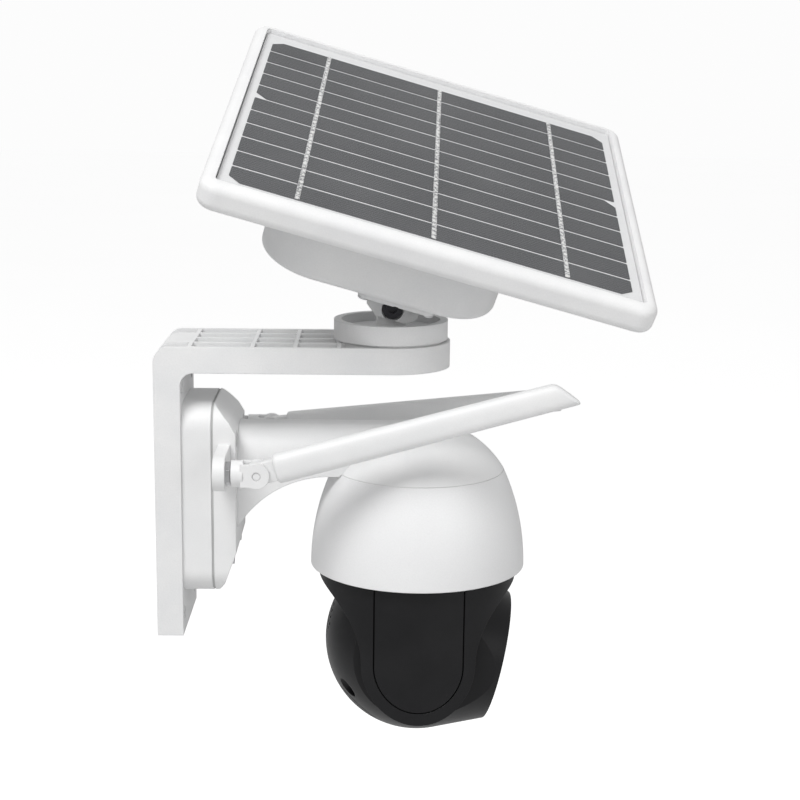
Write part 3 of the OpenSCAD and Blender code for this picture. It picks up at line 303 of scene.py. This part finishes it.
def laminate():
    f = Finish("panel_backing")
    at = on_panel(f)
    fibre = f.noise(at, 1 / (0.35 * MM), 4.0, 0.7)
    drift = f.noise(at, 1 / (25 * MM), 2.0)
    colour = f.blend(drift, (0.68, 0.685, 0.69), (0.73, 0.73, 0.735))
    return f.set(colour=colour, rough=fibre * 0.1 + 0.5, normal=f.bump(fibre, 0.02 * MM, 0.6)).material


def cast_clear():
    f = Finish("clear_sheet")
    at = on_panel(f)
    fine = f.noise(at, 1 / (0.45 * MM), 2.0, 0.6)
    drift = f.noise(at, 1 / (35 * MM), 2.0)
    normal = f.bump(fine, 0.02 * MM, 0.5)
    return f.set(colour=(0.93, 0.94, 0.95), rough=fine * 0.1 + 0.42, alpha=drift * 0.02 + 0.015,
                 normal=normal, specular=0.1).material


cell_silicon = silicon()
busbar_ribbon = ribbon()
panel_backing = laminate()
clear_sheet = cast_clear()
print("panel finishes ready")

# %% [markdown]
# ## Glass of the head
# The head looks out through a smoked window. Behind it sit a coated lens and clear lamps.

# %% Window, lens and lamps
def smoked_window():
    f = Finish("smoked_window")
    at = f.place()
    dust = f.noise(at, 1 / (0.8 * MM), 4.0, 0.7)
    smear = f.noise(at, 1 / (9 * MM), 2.0)
    return f.set(colour=(0.012, 0.012, 0.014), rough=smear * 0.06 + 0.04, alpha=dust * 0.06 + 0.62,
                 normal=f.bump(smear, 0.02 * MM, 0.2), coat=0.6).material


def coated_lens():
    f = Finish("coated_lens")
    at = f.place()
    drift = f.noise(at, 1 / (5 * MM), 1.0)
    # Painted reflection: the colour turns from dark blue head-on to purple at a slant, the lens coating's
    # reflection picked by the viewing angle.
    painted_reflection_by_angle = f.node("ShaderNodeLayerWeight", {}, {"Blend": 0.35}, "Facing")
    colour = f.blend(painted_reflection_by_angle, (0.02, 0.025, 0.06), (0.10, 0.03, 0.14))
    polish = f.bump(drift, 0.005 * MM, 0.2)
    return f.set(colour=colour, rough=drift * 0.04 + 0.03, coat=1.0, normal=polish).material


def lamp_resin():
    f = Finish("lamp_resin")
    at = f.place()
    cloud = f.noise(at, 1 / (1.2 * MM), 3.0)
    colour = f.blend(cloud, (0.72, 0.70, 0.60), (0.85, 0.84, 0.78))
    flow = f.bump(cloud, 0.01 * MM, 0.3)
    return f.set(colour=colour, rough=cloud * 0.1 + 0.12, coat=0.8, normal=flow).material


smoked = smoked_window()
lens_coat = coated_lens()
lamp_clear = lamp_resin()
print("glass finishes ready")

# %% [markdown]
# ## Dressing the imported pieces
# Pieces whose shape is already right keep their mesh and only get a finish.

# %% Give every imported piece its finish
dress = {
    bracket_white: ["l_bracket", "swivel_disc", "tilt_saddle", "battery_box"],
    housing_white: ["camera_base", "base_cover", "base_gland", "camera_arm", "antenna_near_barrel",
                    "antenna_far_barrel"],
    dome_white: ["dome_shell"],
    frame_white: ["panel_frame", "panel_back"],
    housing_black: ["yoke", "yoke_cover_near", "yoke_cover_far", "card_plug"],
    head_black: ["head_rear_shell", "head_front_shell"],
    seal_grey: ["base_seal"],
    seal_rubber: ["box_seal", "box_gland"],
    screw_steel: ["cover_screws", "plate_screws", "saddle_screws", "box_screws", "shell_screws",
                  "swivel_bolt", "antenna_connectors"],
    dark_bolt: ["tilt_bolt", "tilt_nut"],
    drive_metal: ["motor_plate", "pan_motor", "pan_bearing", "pan_retainer", "tilt_motor", "trunnions"],
    gear_acetal: ["pan_gear", "pan_pinion", "tilt_gear", "tilt_pinion"],
    board_green: ["main_board", "charge_board", "led_board", "sensor_board", "card_board"],
    chip_black: ["slip_ring", "lens_barrel", "speaker"],
    cell_sleeve: ["battery_cells"],
    panel_backing: ["back_sheet"],
    busbar_ribbon: ["busbars"],
    clear_sheet: ["cover_sheet"],
    smoked: ["front_window"],
    lens_coat: ["lens_glass"],
    lamp_clear: ["lamp_leds"],
    button_white: ["reset_button"],
}
for finish, names in dress.items():
    for name in names:
        slots = parts[name].data.materials
        slots.clear()
        slots.append(finish)
dressed = {name for names in dress.values() for name in names}
print("pieces left for new meshes:", sorted(set(parts) - dressed))

# %% [markdown]
# ## Antenna blades in mesh code
# A blade is a soft oval bar that thins a little towards a slanted tip. It is built ring by ring, so each
# ring can be stretched, slanted and rounded on its own. A tongue and a hinge pin hold it in the fork.

# %% Rings, tongues and pins
def oval_ring(shape, x, half_h, half_t, slant, steps=40, square=2.9):
    ring = []
    for k in range(steps):
        angle = 2 * math.pi * k / steps
        c, s = math.cos(angle), math.sin(angle)
        up = half_h * math.copysign(abs(s) ** (2 / square), s)
        out = half_t * math.copysign(abs(c) ** (2 / square), c)
        ring.append(shape.verts.new((x - slant * up / half_h, out, up)))
    return ring


def skin(shape, rings):
    for first, second in zip(rings, rings[1:]):
        for k in range(len(first)):
            n = (k + 1) % len(first)
            shape.faces.new((first[k], first[n], second[n], second[k]))
    shape.faces.new(rings[0][::-1])
    shape.faces.new(rings[-1])


def blade_bar(shape, length, width, thick, root=7 * MM, slant=4 * MM, soft=1.6 * MM):
    thin_h, thin_t = 0.6 * MM, 0.3 * MM
    rings = []
    for k in range(7):
        turn = math.pi / 2 * k / 6
        size = 1 - 0.22 * (1 - math.sin(turn))
        x = root + soft * (1 - math.cos(turn))
        rings.append(oval_ring(shape, x, width / 2 * size, thick / 2 * size, 0))
    for k in range(1, 30):
        along = k / 30
        x = root + soft + (length - slant - root - 2 * soft) * along
        lean = slant * max(0, (along - 0.8) / 0.2) ** 1.5
        rings.append(oval_ring(shape, x, width / 2 - thin_h * along, thick / 2 - thin_t * along, lean))
    for k in range(8):
        turn = math.pi / 2 * k / 7
        size = 1 - 0.34 * (1 - math.cos(turn))
        rings.append(oval_ring(shape, length - slant - soft + soft * math.sin(turn),
                               (width / 2 - thin_h) * size, (thick / 2 - thin_t) * size, slant * size))
    skin(shape, rings)


def pushed_outline(shape, outline, half_t, soft=0.25 * MM):
    """A flat outline in the XZ plane pushed both ways along Y, its rims slightly rounded."""
    middle = sum((Vector((x, 0, z)) for x, z in outline), Vector()) / len(outline)
    rings = []
    for y, shrink in ((-half_t, soft), (-half_t + soft, 0), (half_t - soft, 0), (half_t, soft)):
        ring = []
        for x, z in outline:
            away = Vector((x, 0, z)) - middle
            point = middle + away * (1 - shrink / away.length)
            ring.append(shape.verts.new((point.x, y, point.z)))
        rings.append(ring)
    skin(shape, rings)


def round_points(radius, start, end, steps):
    return [(radius * math.cos(math.radians(start + (end - start) * k / steps)),
             radius * math.sin(math.radians(start + (end - start) * k / steps))) for k in range(steps + 1)]


def finished_mesh(name, shape, place, finish, crease=35):
    bmesh.ops.recalc_face_normals(shape, faces=shape.faces)
    shape.transform(place)
    mesh = bpy.data.meshes.new(name)
    for face in shape.faces:
        face.smooth = True
    for edge in shape.edges:
        edge.smooth = edge.calc_face_angle(0) < math.radians(crease)
    shape.to_mesh(mesh)
    shape.free()
    made = bpy.data.objects.new(name, mesh)
    scene.collection.objects.link(made)
    mesh.materials.append(finish)
    return made


# %% Two antennas
ANTENNA_LENGTH = 122 * MM
BLADE_WIDTH = 11 * MM
BLADE_THICK = 8 * MM
ELBOW_X, ELBOW_Y, ELBOW_Z = 40 * MM, 40.5 * MM, 17 * MM
KNUCKLE_R = 4.5 * MM
PIN_R = 1.5 * MM
for side, rise, cad_name in ((-1, 15.3, "antenna_near_blade"), (1, 6.0, "antenna_far_blade")):
    shape = bmesh.new()
    blade_bar(shape, ANTENNA_LENGTH, BLADE_WIDTH, BLADE_THICK)
    tongue = [(9 * MM, -4 * MM), (9 * MM, 4 * MM), (0.5 * MM, 4 * MM)] + \
        round_points(KNUCKLE_R, 100, 260, 16) + [(0.5 * MM, -4 * MM)]
    pushed_outline(shape, tongue, 2.3 * MM)
    pushed_outline(shape, round_points(PIN_R, 0, 345, 23), 4.4 * MM, 0.2 * MM)
    place = (Matrix.Translation((ELBOW_X, side * ELBOW_Y, ELBOW_Z))
             @ Matrix.Rotation(math.radians(-rise), 4, "Y"))
    blade = finished_mesh(cad_name + "_fine", shape, place, housing_white)
    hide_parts(cad_name)
    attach(blade, cad_name)
    print(cad_name, "faces:", len(blade.data.polygons))

# %% [markdown]
# ## Cell strips in mesh code
# The eleven strips are cut from square cells with clipped corners, so the first and last strips and the
# two that meet in the middle have slanted corners. They are as thin as real cells, so the pale backing
# shows between them as a clear line.

# %% Eleven strips
STRIPS = 11
CELL_LENGTH = 150 * MM
CELL_PITCH = 158 / STRIPS * MM
CELL_THIN = 0.15 * MM
CELL_LOW = 46.75 * MM
CELL_MIDDLE = (3.2 * MM, 43.5 * MM)
CLIP = 4.5 * MM
SMALL_CLIP = 0.4 * MM


def strip_outline(k, gap=1.25 * MM):
    half_l, half_w = CELL_LENGTH / 2, (CELL_PITCH - gap) / 2
    start, last, before, after = k == 0, k == STRIPS - 1, k == STRIPS // 2, k == STRIPS // 2 + 1
    corners = [(-1, -1, start or after), (1, -1, start), (1, 1, last or before), (-1, 1, last)]
    outline = []
    for sx, sy, clipped in corners:
        x, y, cut = sx * half_l, sy * half_w, CLIP if clipped else SMALL_CLIP
        pair = [(x, y - sy * cut), (x - sx * cut, y)]
        outline += pair if sx * sy > 0 else pair[::-1]
    middle = (k + 0.5 - STRIPS / 2) * CELL_PITCH
    return [(x, y + middle) for x, y in outline]


shape = bmesh.new()
for k in range(STRIPS):
    rings = [[shape.verts.new((x, y, z)) for x, y in strip_outline(k)] for z in (0, CELL_THIN)]
    skin(shape, rings)
on_backing = panel_place @ Matrix.Translation((*CELL_MIDDLE, CELL_LOW))
strips = finished_mesh("cell_strips", shape, on_backing, cell_silicon)
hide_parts("solar_cells")
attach(strips, "panel_tilt")
print("cell strips:", STRIPS)

# %% [markdown]
# ## Solder points with Geometry Nodes
# Every cell strip is soldered to each ribbon in a few places. Geometry Nodes lays the points out on a
# grid, pushes each a little off its place and sets a flat bead of a random size on it.

# %% Build the node group
def solder_group():
    tree = bpy.data.node_groups.new("solder_points", "GeometryNodeTree")
    face = tree.interface
    face.new_socket("Geometry", in_out="INPUT", socket_type="NodeSocketGeometry")
    for label, kind in (("Ribbons", "Int"), ("Points Along", "Int"), ("Ribbon Spacing", "Float"),
                        ("Ribbon Length", "Float"), ("Bead Radius", "Float"), ("Wander", "Float"),
                        ("Seed", "Int")):
        face.new_socket(label, in_out="INPUT", socket_type="NodeSocket" + kind)
    face.new_socket("Material", in_out="INPUT", socket_type="NodeSocketMaterial")
    face.new_socket("Geometry", in_out="OUTPUT", socket_type="NodeSocketGeometry")
    add, link = tree.nodes.new, tree.links.new
    given, result = add("NodeGroupInput"), add("NodeGroupOutput")
    gaps = add("ShaderNodeMath")
    gaps.operation = "SUBTRACT"
    gaps.inputs[1].default_value = 1
    link(given.outputs["Ribbons"], gaps.inputs[0])
    across = add("ShaderNodeMath")
    across.operation = "MULTIPLY"
    link(gaps.outputs[0], across.inputs[0])
    link(given.outputs["Ribbon Spacing"], across.inputs[1])
    grid = add("GeometryNodeMeshGrid")
    link(across.outputs[0], grid.inputs["Size X"])
    link(given.outputs["Ribbon Length"], grid.inputs["Size Y"])
    link(given.outputs["Ribbons"], grid.inputs["Vertices X"])
    link(given.outputs["Points Along"], grid.inputs["Vertices Y"])
    wander = add("FunctionNodeRandomValue")
    wander.data_type = "FLOAT_VECTOR"
    wander.inputs["Min"].default_value = (-1, -1, 0)
    wander.inputs["Max"].default_value = (1, 1, 0)
    link(given.outputs["Seed"], wander.inputs["Seed"])
    push = add("ShaderNodeVectorMath")
    push.operation = "SCALE"
    link(wander.outputs["Value"], push.inputs[0])
    link(given.outputs["Wander"], push.inputs["Scale"])
    moved = add("GeometryNodeSetPosition")
    link(grid.outputs["Mesh"], moved.inputs["Geometry"])
    link(push.outputs[0], moved.inputs["Offset"])
    bead = add("GeometryNodeMeshUVSphere")
    bead.inputs["Segments"].default_value = 12
    bead.inputs["Rings"].default_value = 8
    link(given.outputs["Bead Radius"], bead.inputs["Radius"])
    flat = add("GeometryNodeTransform")
    flat.inputs["Scale"].default_value = (1.0, 1.7, 0.16)
    link(bead.outputs["Mesh"], flat.inputs["Geometry"])
    size = add("FunctionNodeRandomValue")
    size.data_type = "FLOAT"
    size.inputs[2].default_value = 0.45
    size.inputs[3].default_value = 1.0
    link(given.outputs["Seed"], size.inputs["Seed"])
    placed = add("GeometryNodeInstanceOnPoints")
    link(moved.outputs[0], placed.inputs["Points"])
    link(flat.outputs[0], placed.inputs["Instance"])
    link(size.outputs[1], placed.inputs["Scale"])
    real, dressed_up = add("GeometryNodeRealizeInstances"), add("GeometryNodeSetMaterial")
    link(placed.outputs[0], real.inputs[0])
    link(real.outputs[0], dressed_up.inputs["Geometry"])
    link(given.outputs["Material"], dressed_up.inputs["Material"])
    link(dressed_up.outputs[0], result.inputs[0])
    return tree


def grown(name, tree, values, place):
    """Run a node group once and keep what it grew as a plain mesh."""
    seed_mesh = bpy.data.objects.new(name + "_seed", bpy.data.meshes.new(name + "_seed"))
    scene.collection.objects.link(seed_mesh)
    modifier = seed_mesh.modifiers.new("grow", "NODES")
    modifier.node_group = tree
    sockets = {item.name: item.identifier for item in tree.interface.items_tree if item.in_out == "INPUT"}
    for label, value in values.items():
        modifier[sockets[label]] = value
    mesh = bpy.data.meshes.new_from_object(seed_mesh.evaluated_get(bpy.context.evaluated_depsgraph_get()))
    bpy.data.objects.remove(seed_mesh)
    mesh.transform(place)
    mesh.name = name
    made = bpy.data.objects.new(name, mesh)
    scene.collection.objects.link(made)
    return made


# %% Grow the beads
def solder_tin():
    f = Finish("solder_tin")
    cloud = f.noise(on_panel(f), 1 / (0.4 * MM), 3.0)
    colour = f.blend(cloud, (0.62, 0.62, 0.61), (0.86, 0.86, 0.85))
    frozen = f.bump(cloud, 0.03 * MM, 0.6)
    return f.set(colour=colour, rough=cloud * 0.2 + 0.3, metal=0.2, normal=frozen).material


RIBBON_TOP = 47.2 * MM
solder = grown("solder_points", solder_group(),
               {"Ribbons": 3, "Points Along": 44, "Ribbon Spacing": 50 * MM, "Ribbon Length": 154 * MM,
                "Bead Radius": 0.75 * MM, "Wander": 0.3 * MM, "Seed": 7, "Material": solder_tin()},
               panel_place @ Matrix.Translation((*CELL_MIDDLE, RIBBON_TOP)))
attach(solder, "panel_tilt")
print("solder points:", len(solder.data.polygons), "faces")

# %% [markdown]
# ## The studio
# A pale floor, a white room and three soft lights. The camera stands a little above the neck and
# looks slightly down.

# %% Floor
def lay_floor(size, height):
    shape = bmesh.new()
    bmesh.ops.create_grid(shape, x_segments=8, y_segments=8, size=size)
    bmesh.ops.translate(shape, verts=shape.verts, vec=(0, 0, height))
    mesh = bpy.data.meshes.new("studio_floor")
    shape.to_mesh(mesh)
    shape.free()
    floor = bpy.data.objects.new("studio_floor", mesh)
    scene.collection.objects.link(floor)
    f = Finish("studio_floor")
    drift = f.noise(f.place(), 2.0, 2.0)
    seen = f.node("ShaderNodeLightPath", output="Is Camera Ray")
    f.surface.inputs["Emission Strength"].default_value = 0.6
    pale = f.blend(drift, (0.74, 0.74, 0.74), (0.76, 0.76, 0.76))
    lift = f.blend(seen, (0, 0, 0), (1, 1, 1))
    floor.data.materials.append(f.set(colour=pale, rough=0.9, specular=0.05, glow=lift).material)
    return floor


floor = lay_floor(12, -0.45)

# %% Lights
def soft_light(name, place, aim, size, watts):
    lamp = bpy.data.lights.new(name, "AREA")
    lamp.shape = "DISK"
    lamp.size = size
    lamp.energy = watts
    holder = bpy.data.objects.new(name, lamp)
    holder.location = place
    holder.rotation_euler = (Vector(aim) - Vector(place)).to_track_quat("-Z", "Y").to_euler()
    scene.collection.objects.link(holder)


middle = (0.1, 0, 0.02)
soft_light("key_light", (-0.45, -0.75, 1.25), middle, 0.8, 16)
soft_light("fill_light", (1.0, -1.1, 0.4), middle, 1.2, 4)
soft_light("rim_light", (0.4, 1.2, 0.9), middle, 1.0, 1.2)
world = bpy.data.worlds.new("studio_room")
scene.world = world
world.use_nodes = True
room = world.node_tree.nodes["Background"]
room.inputs["Color"].default_value = (1, 1, 1, 1)
ray = world.node_tree.nodes.new("ShaderNodeLightPath")
seen = world.node_tree.nodes.new("ShaderNodeMapRange")
world.node_tree.links.new(ray.outputs["Is Camera Ray"], seen.inputs["Value"])
seen.inputs["To Min"].default_value = 0.49
seen.inputs["To Max"].default_value = 0.975
world.node_tree.links.new(seen.outputs["Result"], room.inputs["Strength"])
scene.view_settings.view_transform = "Standard"

# %% Camera
lens = bpy.data.cameras.new("camera")
lens.sensor_width = 36
lens.lens = 72
camera = bpy.data.objects.new("camera", lens)
scene.collection.objects.link(camera)
camera.matrix_world = (Matrix.Translation(Vector((0.0822, -0.6117, 0.1614)))
                       @ Matrix.Rotation(math.radians(-1.0), 4, "Z")
                       @ Matrix.Rotation(math.radians(90 - 11.5), 4, "X")
                       @ Matrix.Rotation(math.radians(0.7), 4, "Z"))
scene.camera = camera
print("camera at", tuple(round(v, 3) for v in camera.location))

# %% Finish
bpy.context.view_layer.update()
